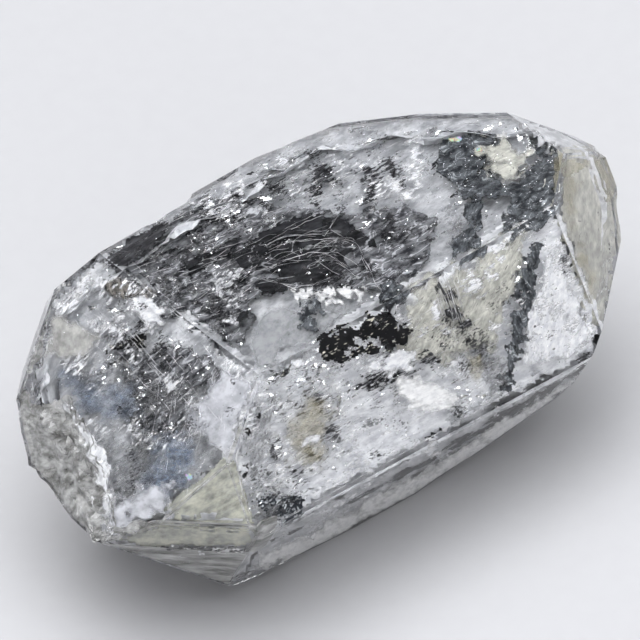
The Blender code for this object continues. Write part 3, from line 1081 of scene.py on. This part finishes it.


# Patches with a tone of their own; the dark ones are painted shade, and one bright one is a painted
# reflection
patches = {
    "smoothLeft": filmPlan("leftTop", "pale", 1.2, 0.15, 93, 0.2, 40.0, [196,396, 222,362, 254,380,
        240,430, 228,460, 204,452, 188,425], tear=0.5, fade=0.8),
    "whiteStreak": filmPlan("frontUpper", "bright", 0.7, 0.1, 97, 0.14, 30.0, [294,448, 310,434,
        326,430, 320,442, 300,452], tear=0.3, fade=0.5),
    "whiteCorner": filmPlan("frontUpper", "bright", 0.7, 0.1, 98, 0.14, 60.0, [290,362, 302,354,
        304,364, 294,370], tear=0.2, fade=0.3),
    "oliveLow": filmPlan("leftFrontLower", "olive", 0.8, 0.1, 94, 0.16, 2.0, [120,540, 160,525,
        246,533, 254,543, 150,548], tear=0.2),
    "bottomLine": filmPlan("leftFrontLower", "denseShadeGaps", 0.6, 0.1, 95, 0.14, 2.0, [128,548, 255,546,
        256,552, 150,553], tear=0.12),
    "brownTop": filmPlan("rightFrontUpper", "stain", 0.8, 0.1, 96, 0.2, 90.0, [562,160, 602,156,
        616,188, 606,196, 590,172, 566,178], tear=0.5),
    "smoothTop": filmPlan("top", "smooth", 1.3, 0.15, 81, 0.2, 40.0, [262,308, 300,304, 335,302,
        352,318, 325,334, 290,354, 260,370, 238,345], tear=0.6, fade=0.7),
    "creamSpot": filmPlan("top", "cream", 1.2, 0.15, 82, 0.16, 20.0, [470,150, 486,138, 512,136,
        534,150, 528,166, 508,180, 488,176, 478,164], tear=0.9, tearSize=0.7, fade=1.0),
    "wedge": filmPlan("top", "streaks", 1.2, 0.2, 83, 0.16, 70.0, [497,196, 507,198, 497,236, 484,246,
        487,220], tear=0.3, fade=0.7),
    "creamFront": filmPlan("frontUpper", "cream", 1.4, 0.2, 84, 0.2, 60.0, [405,302, 440,277, 524,234,
        516,300, 500,345, 470,352, 430,372, 398,352], tear=0.8, fade=0.7),
    "whiteFront": filmPlan("frontUpper", "white", 0.5, 0.1, 85, 0.14, 20.0, [386,370, 404,372, 426,378,
        456,392, 452,410, 416,414, 396,396], tear=0.35, tearSize=0.6, fade=0.7),
    # painted reflection: a bright film where the face shows a bright inner reflection
    "paintedReflectionRight": filmPlan("frontUpper", "bright", 1.3, 0.2, 86, 0.2, 70.0, [522,330, 540,270, 556,225,
        596,330, 588,350, 522,388], tear=0.6, fade=0.7),
    "stainA": filmPlan("frontUpper", "stain", 0.8, 0.15, 87, 0.2, 70.0, [470,352, 486,350, 489,375,
        476,392, 464,385], tear=0.5, fade=0.7),
    "stainB": filmPlan("frontUpper", "stain", 0.8, 0.15, 88, 0.2, 50.0, [272,432, 288,394, 318,386,
        344,410, 340,454, 320,482, 290,478], tear=0.8, fade=1.8),
    "creamLeft": filmPlan("leftTop", "creamSoft", 0.9, 0.1, 89, 0.16, 80.0, [50,318, 62,312, 104,337,
        84,359, 68,362, 42,356], tear=0.2, fade=0.7),
    "rimFrost": filmPlan("leftTop", "bright", 0.4, 0.1, 110, 0.14, 60.0, [56,402, 66,402, 82,414,
        100,440, 112,470, 112,518, 100,512, 92,474, 78,440, 64,414], tear=0.5, tearSize=0.6,
        fade=0.4, holes=0.25),
    "fibreShadeGaps": filmPlan("frontUpper", "denseShadeGaps", 0.9, 0.15, 115, 0.14, -62.0, [428,288, 450,272,
        466,300, 480,336, 468,352, 448,336, 436,312], tear=0.8, tearSize=0.8, fade=0.9),
    "yellowBand": filmPlan("rightFrontUpper", "stain", 0.9, 0.1, 117, 0.2, 85.0, [562,165, 578,160,
        588,230, 598,300, 592,310, 574,260, 562,215], tear=0.6, fade=0.8),
    "lightCorner": filmPlan("top", "granular", 1.0, 0.2, 119, 0.16, 40.0, [206,262, 250,264, 252,294,
        242,336, 222,326, 200,286], tear=0.7, tearSize=0.8, fade=1.0),
    "whiteLine": filmPlan("top", "white", 0.9, 0.1, 120, 0.12, 5.0, [290,292, 330,283, 364,287,
        364,297, 320,302, 294,301], tear=0.6, tearSize=0.5, fade=0.5, holes=0.4, holeSize=0.35),
    "paleFront": filmPlan("frontUpper", "bright", 0.8, 0.1, 121, 0.14, 30.0, [358,366, 400,348,
        422,350, 414,372, 384,380], tear=0.5, tearSize=0.7, fade=0.7),
    "underSpeck": filmPlan("frontUpper", "fineShadeGaps", 0.6, 0.1, 122, 0.16, 35.0, [268,376, 300,352,
        330,364, 352,370, 338,386, 300,392], tear=0.5, fade=0.5),
    "stripFoot": filmPlan("frontUpper", "softShadeGaps", 0.8, 0.1, 123, 0.16, 50.0, [482,350, 512,346,
        516,392, 490,400, 474,382], tear=0.5, fade=0.6),
    "whiteFoot": filmPlan("leftTop", "pale", 0.6, 0.1, 124, 0.14, 10.0, [104,496, 150,478, 186,486,
        164,514, 130,526, 104,528], tear=0.9, tearSize=0.8, fade=1.0),
    "ripples": filmPlan("leftTop", "ripple", 1.2, 0.1, 111, 0.16, -75.0, [98,274, 120,272, 146,284,
        166,298, 150,306, 118,304, 98,296], tear=0.5, fade=0.6),
    "greyTop": filmPlan("top", "softShadeGaps", 1.0, 0.1, 112, 0.16, 40.0, [428,208, 448,202, 468,212,
        464,242, 442,252, 426,236], tear=0.4, fade=0.5),
    # painted reflection: interference colours and small coloured glints
    "rainbowTop": filmPlan("top", "rainbow", 0.9, 0.05, 113, 0.1, 20.0, [446,138, 458,134, 466,138,
        460,144, 448,144], tear=0.15, fade=0.2),
    "sparkTop": filmPlan("top", "rainbow", 0.8, 0.05, 114, 0.1, 20.0, [474,147, 482,146, 484,152,
        476,154], tear=0.12, fade=0.15),
    "sparkLeft": filmPlan("leftTop", "rainbow", 0.8, 0.05, 116, 0.1, 20.0, [184,474, 192,472, 194,480,
        186,482], tear=0.12, fade=0.15),
    "milkLeft": filmPlan("leftTop", "bright", 1.2, 0.2, 90, 0.2, 20.0, [128,296, 150,292, 172,308,
        165,330, 140,332], tear=0.6, fade=0.7),
    "blueLeft": filmPlan("leftTop", "blueHaze", 1.0, 0.3, 91, 0.25, 20.0, [126,452, 158,432, 196,424,
        212,456, 198,486, 162,512, 128,504], tear=0.8, fade=1.8),
    "blueLeftLow": filmPlan("leftTop", "blueHaze", 1.0, 0.3, 92, 0.25, 20.0, [46,372, 104,362, 150,380,
        150,414, 118,434, 80,420, 52,398], tear=0.8, fade=2.2),
}
buildFilms("veil_patches", patches)


# Painted shade: dark films put where the depth reads dark, in place of the dark seen through the clear
# crystal
shadeWindows = {
    "main": filmPlan("top", "dark", 2.1, 0.3, 31, 0.14, 20.0, [222,264, 238,247, 262,231, 285,220,
        315,216, 345,215, 356,226, 372,238, 366,252, 352,258, 350,272, 338,281, 306,284, 280,279,
        262,268, 244,268], tear=0.55, tearSize=0.9, fade=0.5, holes=0.12, holeSize=0.7),
    "mainTop": filmPlan("top", "dark", 1.7, 0.2, 41, 0.14, 20.0, [232,252, 260,231, 290,219, 322,215,
        340,218, 322,230, 290,236, 262,247, 242,260], tear=0.35, tearSize=0.8, fade=0.35),
    "hookEnd": filmPlan("top", "slateShade", 1.5, 0.2, 42, 0.14, 40.0, [376,280, 396,276, 404,288, 394,303,
        380,302], tear=0.4, tearSize=0.6, fade=0.35),
    "mainFoot": filmPlan("top", "dark", 1.9, 0.2, 43, 0.14, 10.0, [259,277, 275,276, 290,282, 288,291,
        262,291, 255,286], tear=0.25, fade=0.25),
    "spots": filmPlan("top", "slateShade", 1.0, 0.2, 44, 0.14, 60.0, [300,304, 316,300, 323,312, 318,330,
        304,333, 297,318], tear=0.4, tearSize=0.5, holes=0.35, holeSize=0.4),
    "triangle": filmPlan("frontUpper", "dark", 0.8, 0.1, 45, 0.12, 60.0, [384,305, 398,299, 396,314,
        390,316], tear=0.15, fade=0.2),
    "cornerWedge": filmPlan("frontUpper", "blackSpeckled", 0.8, 0.1, 58, 0.12, 50.0, [274,378, 290,360,
        298,361, 286,380], tear=0.2, fade=0.3),
    "streakA": filmPlan("top", "dark", 1.9, 0.3, 46, 0.14, 28.0, [168,276, 200,254, 236,238, 240,243,
        206,260, 176,281], tear=0.3, fade=0.3),
    "streakB": filmPlan("top", "dark", 1.9, 0.3, 47, 0.14, 30.0, [204,300, 226,284, 254,268, 256,274,
        230,292, 210,306], tear=0.3, fade=0.4, holes=0.2),
    "streakC": filmPlan("top", "dark", 1.9, 0.3, 48, 0.14, 40.0, [232,318, 250,300, 258,302, 250,318,
        238,328], tear=0.3, fade=0.5),
    "frontLeftSoft": filmPlan("frontUpper", "softShadeGaps", 1.1, 0.2, 59, 0.18, 65.0, [260,386, 290,372,
        288,400, 272,440, 264,490, 286,500, 292,520, 266,530, 250,510, 236,462, 244,430], tear=0.6,
        fade=0.8),
    "frontLeftEdge": filmPlan("frontUpper", "blackSpeckled", 0.9, 0.2, 49, 0.16, 65.0, [262,384,
        272,376, 264,400, 250,450, 246,500, 240,470, 244,430], tear=0.5, tearSize=0.6, fade=0.5,
        holes=0.5, holeSize=0.5),
    "lowBand": filmPlan("frontLower", "denseShadeGaps", 0.8, 0.1, 50, 0.16, 31.0, [590,358, 500,410,
        400,468, 300,524, 266,538, 268,545, 330,515, 430,464, 520,412, 584,370], tear=0.15,
        fade=0.25),
    "mainArm": filmPlan("top", "dark", 2.1, 0.3, 32, 0.16, 25.0, [183,268, 205,252, 232,246, 240,256,
        214,262, 192,276], tear=0.5, fade=0.7),
    "upperArm": filmPlan("top", "dark", 2.1, 0.3, 33, 0.16, 20.0, [198,222, 214,208, 248,208, 246,217,
        218,226], tear=0.5, fade=0.7),
    "blob": filmPlan("top", "dark", 1.8, 0.3, 34, 0.16, 60.0, [364,238, 376,240, 387,252, 384,258,
        373,251], tear=0.3, fade=0.7),
    "hook": filmPlan("top", "dark", 1.7, 0.3, 35, 0.16, 0.0, [338,286, 358,283, 378,294, 374,298,
        356,290, 338,290], tear=0.3, fade=0.7),
    "speckled": filmPlan("frontUpper", "blackSpeckled", 0.9, 0.2, 36, 0.14, 30.0, [321,342, 345,329,
        368,316, 390,312, 408,333, 404,343, 380,349, 364,358, 344,367, 322,362], tear=0.7,
        holes=0.3),
    "farRightC": filmPlan("top", "slateShade", 1.8, 0.3, 37, 0.18, 20.0, [434,152, 440,138, 462,136,
        488,134, 500,142, 492,158, 484,166, 504,180, 524,176, 538,158, 534,144, 548,143, 561,152,
        560,176, 555,204, 530,220, 504,232, 502,214, 510,198, 490,202, 470,200, 452,192, 438,178],
        tear=0.45, tearSize=0.8, fade=0.35),
    "farRightFoot": filmPlan("top", "slateShade", 1.7, 0.3, 57, 0.18, 60.0, [464,204, 486,202, 484,232,
        480,248, 462,256, 448,264, 452,240, 466,228], tear=0.4, tearSize=0.8, fade=0.35),
    "strip": filmPlan("frontUpper", "slateShade", 1.0, 0.2, 38, 0.14, -75.0, [530,244, 544,244, 538,282,
        527,330, 519,372, 506,394, 497,392, 507,345, 516,292], tear=0.5, tearSize=0.5, fade=0.1,
        holes=0.1, holeSize=0.4),
    "corner": filmPlan("frontUpper", "saltPepper", 1.0, 0.2, 39, 0.2, 30.0, [262,500, 285,492, 304,500,
        296,520, 268,528], tear=0.5, holes=0.25),
    "leftPatch": filmPlan("leftTop", "blackSpeckled", 1.4, 0.3, 40, 0.16, 35.0, [108,352, 120,338,
        146,332, 142,342, 120,356], tear=0.5, holes=0.3),
}
buildFilms("painted_shade_films", shadeWindows)


# Splinters of crack that flash, each a flat four-sided chip
chipLook = {
    "colour": (0.98, 0.98, 1.0, 1.0),
    "grain": 900.0,       # per m
    "roughness": (0.02, 0.35),
    "tries": 6,           # places drawn for each chip
    "clump": 1.5,         # mm between clumps
    "clumping": 1.2,
    "sizeSpread": 0.45,   # of the size's logarithm
    "turnSpread": 0.5,    # radians
    "jag": (0.6, 1.4),    # how far its corners are moved
    "skew": 0.1,          # of the length
    "twist": 0.08,        # of the size
    "keel": 0.10,         # of the size
}


def chipMaterial():
    material, tree = newMaterial("crack_chip")
    where = addNode(tree, "TexCoord", {})["Object"]
    spread = addNode(tree, "TexNoise", {"Vector": where, "Scale": chipLook["grain"]})["Fac"]
    addSurface(tree, {
        "Base Color": chipLook["colour"], "Metallic": 1.0,
        "Roughness": addMap(tree, spread, *chipLook["roughness"]),
    })
    return material


def chipPlan(face, depth, seed, count, size, grainTurn, tilt, stretch, outline, even=0.6):
    return {"face": face, "depth": depth, "seed": seed, "count": count, "size": size,
            "grainTurn": grainTurn, "tilt": tilt, "stretch": stretch, "outline": pairs(outline),
            "even": even}


def scatterChips(name, plans):
    allPoints = []
    allFaces = []
    unit = view["pixel"]
    for plan in plans.values():
        rng = np.random.default_rng(plan["seed"])
        outline = plan["outline"]
        xs = [p[0] for p in outline]
        ys = [p[1] for p in outline]
        tries = plan["count"] * chipLook["tries"]
        x = rng.uniform(min(xs), max(xs), tries)
        y = rng.uniform(min(ys), max(ys), tries)
        hit = outlineDepth(x, y, outline) > 0.0
        clump = rough(x, y, chipLook["clump"] / unit, plan["seed"] + 3)
        reach = chipLook["clumping"]
        hit &= clump > rng.uniform(-reach, reach, tries) * plan["even"]
        x = x[hit][:plan["count"]]
        y = y[hit][:plan["count"]]
        depth = rng.uniform(*plan["depth"], len(x))
        spots = keepInside(underPicture(plan["face"])(x, y, depth), inner["chipMargin"])
        normal = planes[plan["face"]][0]
        side = np.array(camRight)
        side = side - normal * (side @ normal)
        side = side / np.linalg.norm(side)
        other = np.cross(normal, side)
        for spot in spots:
            size = plan["size"] * math.exp(rng.normal(0.0, chipLook["sizeSpread"])) * mm
            turn = math.radians(plan["grainTurn"]) + rng.normal(0.0, chipLook["turnSpread"])
            tilt = rng.normal(0.0, plan["tilt"])
            roll = rng.normal(0.0, plan["tilt"])
            a = side * math.cos(turn) + other * math.sin(turn)
            b = other * math.cos(turn) - side * math.sin(turn)
            a = a * math.cos(tilt) + normal * math.sin(tilt)
            b = b * math.cos(roll) + normal * math.sin(roll)
            c = np.cross(a, b)
            long = size * plan["stretch"]
            wide = size * 0.5
            base = len(allPoints)
            jag = rng.uniform(*chipLook["jag"], 4)
            allPoints.append(spot - a * long * 0.5 * jag[0])
            allPoints.append(spot + b * wide * jag[1] + a * long * chipLook["skew"])
            allPoints.append(spot + a * long * 0.5 * jag[2])
            allPoints.append(spot - b * wide * jag[3] + c * size * chipLook["twist"])
            allPoints.append(spot - c * size * chipLook["keel"])
            for tri in ((0, 2, 1), (0, 3, 2), (0, 1, 4), (1, 2, 4), (2, 3, 4), (3, 0, 4)):
                allFaces.append(tuple(base + corner for corner in tri))
    mesh = bpy.data.meshes.new(name)
    mesh.from_pydata([tuple(p) for p in allPoints], [], allFaces)
    mesh.materials.append(chipMaterial())
    piece = bpy.data.objects.new(name, mesh)
    scene.collection.objects.link(piece)
    turnFacesOut(piece)
    finishInside(piece)


chips = {
    "rim": chipPlan("leftTop", (0.3, 0.8), 79, 260, 0.07, 60.0, 0.7, 2.4, [52,398, 64,398, 80,412,
        100,448, 111,480, 112,510, 104,534, 96,530, 103,498, 98,470, 84,440, 70,418], even=0.2),
    "topLeft": chipPlan("top", (0.5, 2.0), 71, 320, 0.05, 25.0, 0.45, 2.6, [112,256, 170,212, 300,140,
        330,190, 262,230, 262,300, 240,355]),
    "topWindow": chipPlan("top", (0.5, 1.8), 72, 160, 0.055, 25.0, 0.4, 2.0, [238,244, 285,219,
        340,216, 392,246, 400,300, 330,300, 262,297]),
    "topRight": chipPlan("top", (0.5, 1.7), 73, 800, 0.05, 20.0, 0.5, 1.6, [434,156, 442,138, 548,143,
        559,154, 547,205, 470,254, 440,268]),
    "topMiddle": chipPlan("top", (0.5, 2.4), 74, 300, 0.055, 20.0, 0.45, 2.2, [300,145, 430,120,
        440,260, 400,290, 380,240, 330,210]),
    "front": chipPlan("frontUpper", (0.4, 1.6), 75, 600, 0.05, 26.0, 0.45, 2.2, [262,385, 552,215,
        598,332, 588,350, 266,524, 238,465]),
    "left": chipPlan("leftTop", (0.4, 2.2), 76, 700, 0.055, 40.0, 0.5, 2.2, [106,262, 250,377,
        226,458, 158,512, 112,515, 62,400, 56,300]),
}
scatterChips("crack_chips", chips)


# Fine healed cracks seen on edge, and painted highlights along some facet edges, drawn as thin tubes
threadLook = {
    "shade": (0.25, 0.25, 0.28),
    "colour": (0.95, 0.95, 0.97),
    "grain": 1400.0,      # per m
    "step": 0.35,         # mm between the points of a thread
    "leastSteps": 6,
    "share": (0.6, 1.0),  # of its line that a thread keeps
    "wave": 1.2,          # mm between its bends
    "sag": 0.3,           # mm it rises and sinks
    "sagWave": 3.0,       # mm
    "leastDepth": 0.3,    # mm
    "uneven": (0.6, 1.3),   # of its width
    "tip": 0.35,          # of its width, left at the ends
}


def threadMaterial():
    material, tree = newMaterial("healed_crack_and_edge_highlight")
    where = addNode(tree, "TexCoord", {})["Object"]
    spread = addNode(tree, "TexNoise", {"Vector": where, "Scale": threadLook["grain"]})["Fac"]
    addSurface(tree, {
        "Base Color": addRamp(tree, spread, [(0.35, threadLook["shade"]), (0.6, threadLook["colour"])]),
        "Roughness": wander(tree, spread, 0.3, 0.1),
    })
    return material


def threadPlan(face, depth, seed, width, count, line, spread=0.0, wobble=0.12, length=1.0):
    return {"face": face, "depth": depth, "seed": seed, "width": width, "count": count,
            "line": pairs(line), "spread": spread, "wobble": wobble, "length": length}


def drawThreads(name, plans):
    data = bpy.data.curves.new(name, "CURVE")
    data.dimensions = "3D"
    data.bevel_depth = 1.0 * mm
    data.bevel_resolution = 0
    data.use_fill_caps = True
    unit = view["pixel"]
    for plan in plans.values():
        rng = np.random.default_rng(plan["seed"])
        place = underPicture(plan["face"])
        line = np.array(plan["line"], float)
        length = plan["length"]
        run = np.concatenate(([0.0], np.cumsum(np.hypot(*np.diff(line, axis=0).T))))
        for copy in range(plan["count"]):
            start = rng.uniform(0.0, 1.0 - length) if length < 1.0 else 0.0
            end = start + length * rng.uniform(*threadLook["share"])
            steps = int(run[-1] * (end - start) * unit / threadLook["step"])
            steps = max(threadLook["leastSteps"], steps)
            t = np.linspace(start, min(end, 1.0), steps) * run[-1]
            shift = rng.uniform(-1.0, 1.0, 2) * plan["spread"] / unit
            wobble = plan["wobble"] / unit
            wave = threadLook["wave"] / unit
            seed = int(rng.integers(0, 10000))
            row = t * 0.0 + copy
            x = np.interp(t, run, line[:, 0]) + shift[0] + wobble * rough(t, row, wave, seed)
            y = np.interp(t, run, line[:, 1]) + shift[1] + wobble * rough(t, row, wave, seed + 7)
            rng.uniform(-1.0, 1.0)      # a spare draw, so the later ones stay as they are
            slow = rough(t, t * 0.0 + 5.0, threadLook["sagWave"] / unit, seed + 11)
            depth = np.maximum(plan["depth"] + threadLook["sag"] * slow, threadLook["leastDepth"])
            points = keepInside(place(x, y, depth), inner["threadMargin"])
            thick = plan["width"] * rng.uniform(*threadLook["uneven"])
            spline = data.splines.new("POLY")
            spline.points.add(steps - 1)
            for i in range(steps):
                spline.points[i].co = (*points[i], 1.0)
                taper = math.sin(math.pi * (i + 0.6) / (steps + 0.2))
                width = thick * (threadLook["tip"] + (1.0 - threadLook["tip"]) * taper)
                spline.points[i].radius = width * rng.uniform(*threadLook["uneven"])
    piece = bpy.data.objects.new(name, data)
    scene.collection.objects.link(piece)
    makeActive(piece)
    bpy.ops.object.convert(target="MESH")
    piece = bpy.context.active_object
    piece.data.materials.clear()
    piece.data.materials.append(threadMaterial())
    finishInside(piece)


lines = {
    "arcA": threadPlan("top", 1.4, 91, 0.02, 2, [262,246, 280,238, 297,234, 315,236, 338,232],
        spread=0.12),
    "arcB": threadPlan("top", 1.4, 92, 0.026, 2, [258,272, 280,264, 300,256, 312,252, 328,253, 342,262],
        spread=0.15),
    "arcC": threadPlan("top", 1.3, 93, 0.022, 2, [315,246, 328,240, 345,239, 358,245, 364,256],
        spread=0.2),
    "lower": threadPlan("top", 1.3, 94, 0.024, 2, [258,276, 278,281, 296,285, 315,283, 332,276, 344,268],
        spread=0.25),
    "cross": threadPlan("top", 1.1, 95, 0.022, 2, [322,238, 330,226, 336,214], spread=0.3),
    "down": threadPlan("top", 1.1, 96, 0.022, 2, [362,257, 368,270, 374,284, 384,296], spread=0.25),
    "short": threadPlan("top", 1.1, 97, 0.018, 26, [255,262, 290,244, 330,240, 380,270], spread=1.6,
        length=0.3),
    "leftShort": threadPlan("top", 1.0, 98, 0.02, 60, [130,262, 190,238, 250,220, 320,190, 400,160],
        spread=2.6, length=0.12),
    "leftShortB": threadPlan("top", 1.0, 99, 0.02, 40, [170,300, 215,290, 255,262], spread=2.0,
        length=0.16),
    "frontShort": threadPlan("frontUpper", 0.9, 100, 0.02, 50, [262,470, 330,420, 420,360, 500,310],
        spread=3.0, length=0.14),
    "fibres": threadPlan("frontUpper", 0.8, 101, 0.018, 26, [438,272, 448,292, 456,318, 462,345],
        spread=0.9, length=0.5),
    "leftFaceShort": threadPlan("leftTop", 1.0, 102, 0.02, 60, [100,300, 150,350, 190,400, 180,470],
        spread=3.2, length=0.14),
    # painted highlights: pale lines just under the facet edges
    "frontEdgeHighlight": threadPlan("frontUpper", 0.3, 103, 0.03, 2, [268,528, 340,489, 430,438, 520,387,
        590,347], spread=0.04, wobble=0.04),
    "leftEdgeHighlight": threadPlan("frontUpper", 0.3, 104, 0.028, 2, [259,380, 247,418, 236,458, 242,490,
        252,522], spread=0.05, wobble=0.06),
    "creamEdge": threadPlan("leftTop", 0.6, 105, 0.022, 1, [104,338, 94,348, 82,358], wobble=0.04),
    "leftCornerHighlight": threadPlan("leftTop", 0.3, 106, 0.022, 2, [160,517, 194,490, 229,462], spread=0.03,
        wobble=0.03),
    "leftFootHighlight": threadPlan("leftTop", 0.3, 107, 0.03, 9, [98,536, 128,524, 159,517], spread=0.12,
        wobble=0.1, length=0.25),
    "rim": threadPlan("leftTop", 0.35, 108, 0.034, 36, [54,402, 62,401, 76,413, 86,430, 96,450, 105,470,
        109,498, 103,530], spread=0.3, wobble=0.25, length=0.14),
}
drawThreads("healed_cracks_and_edge_highlights", lines)
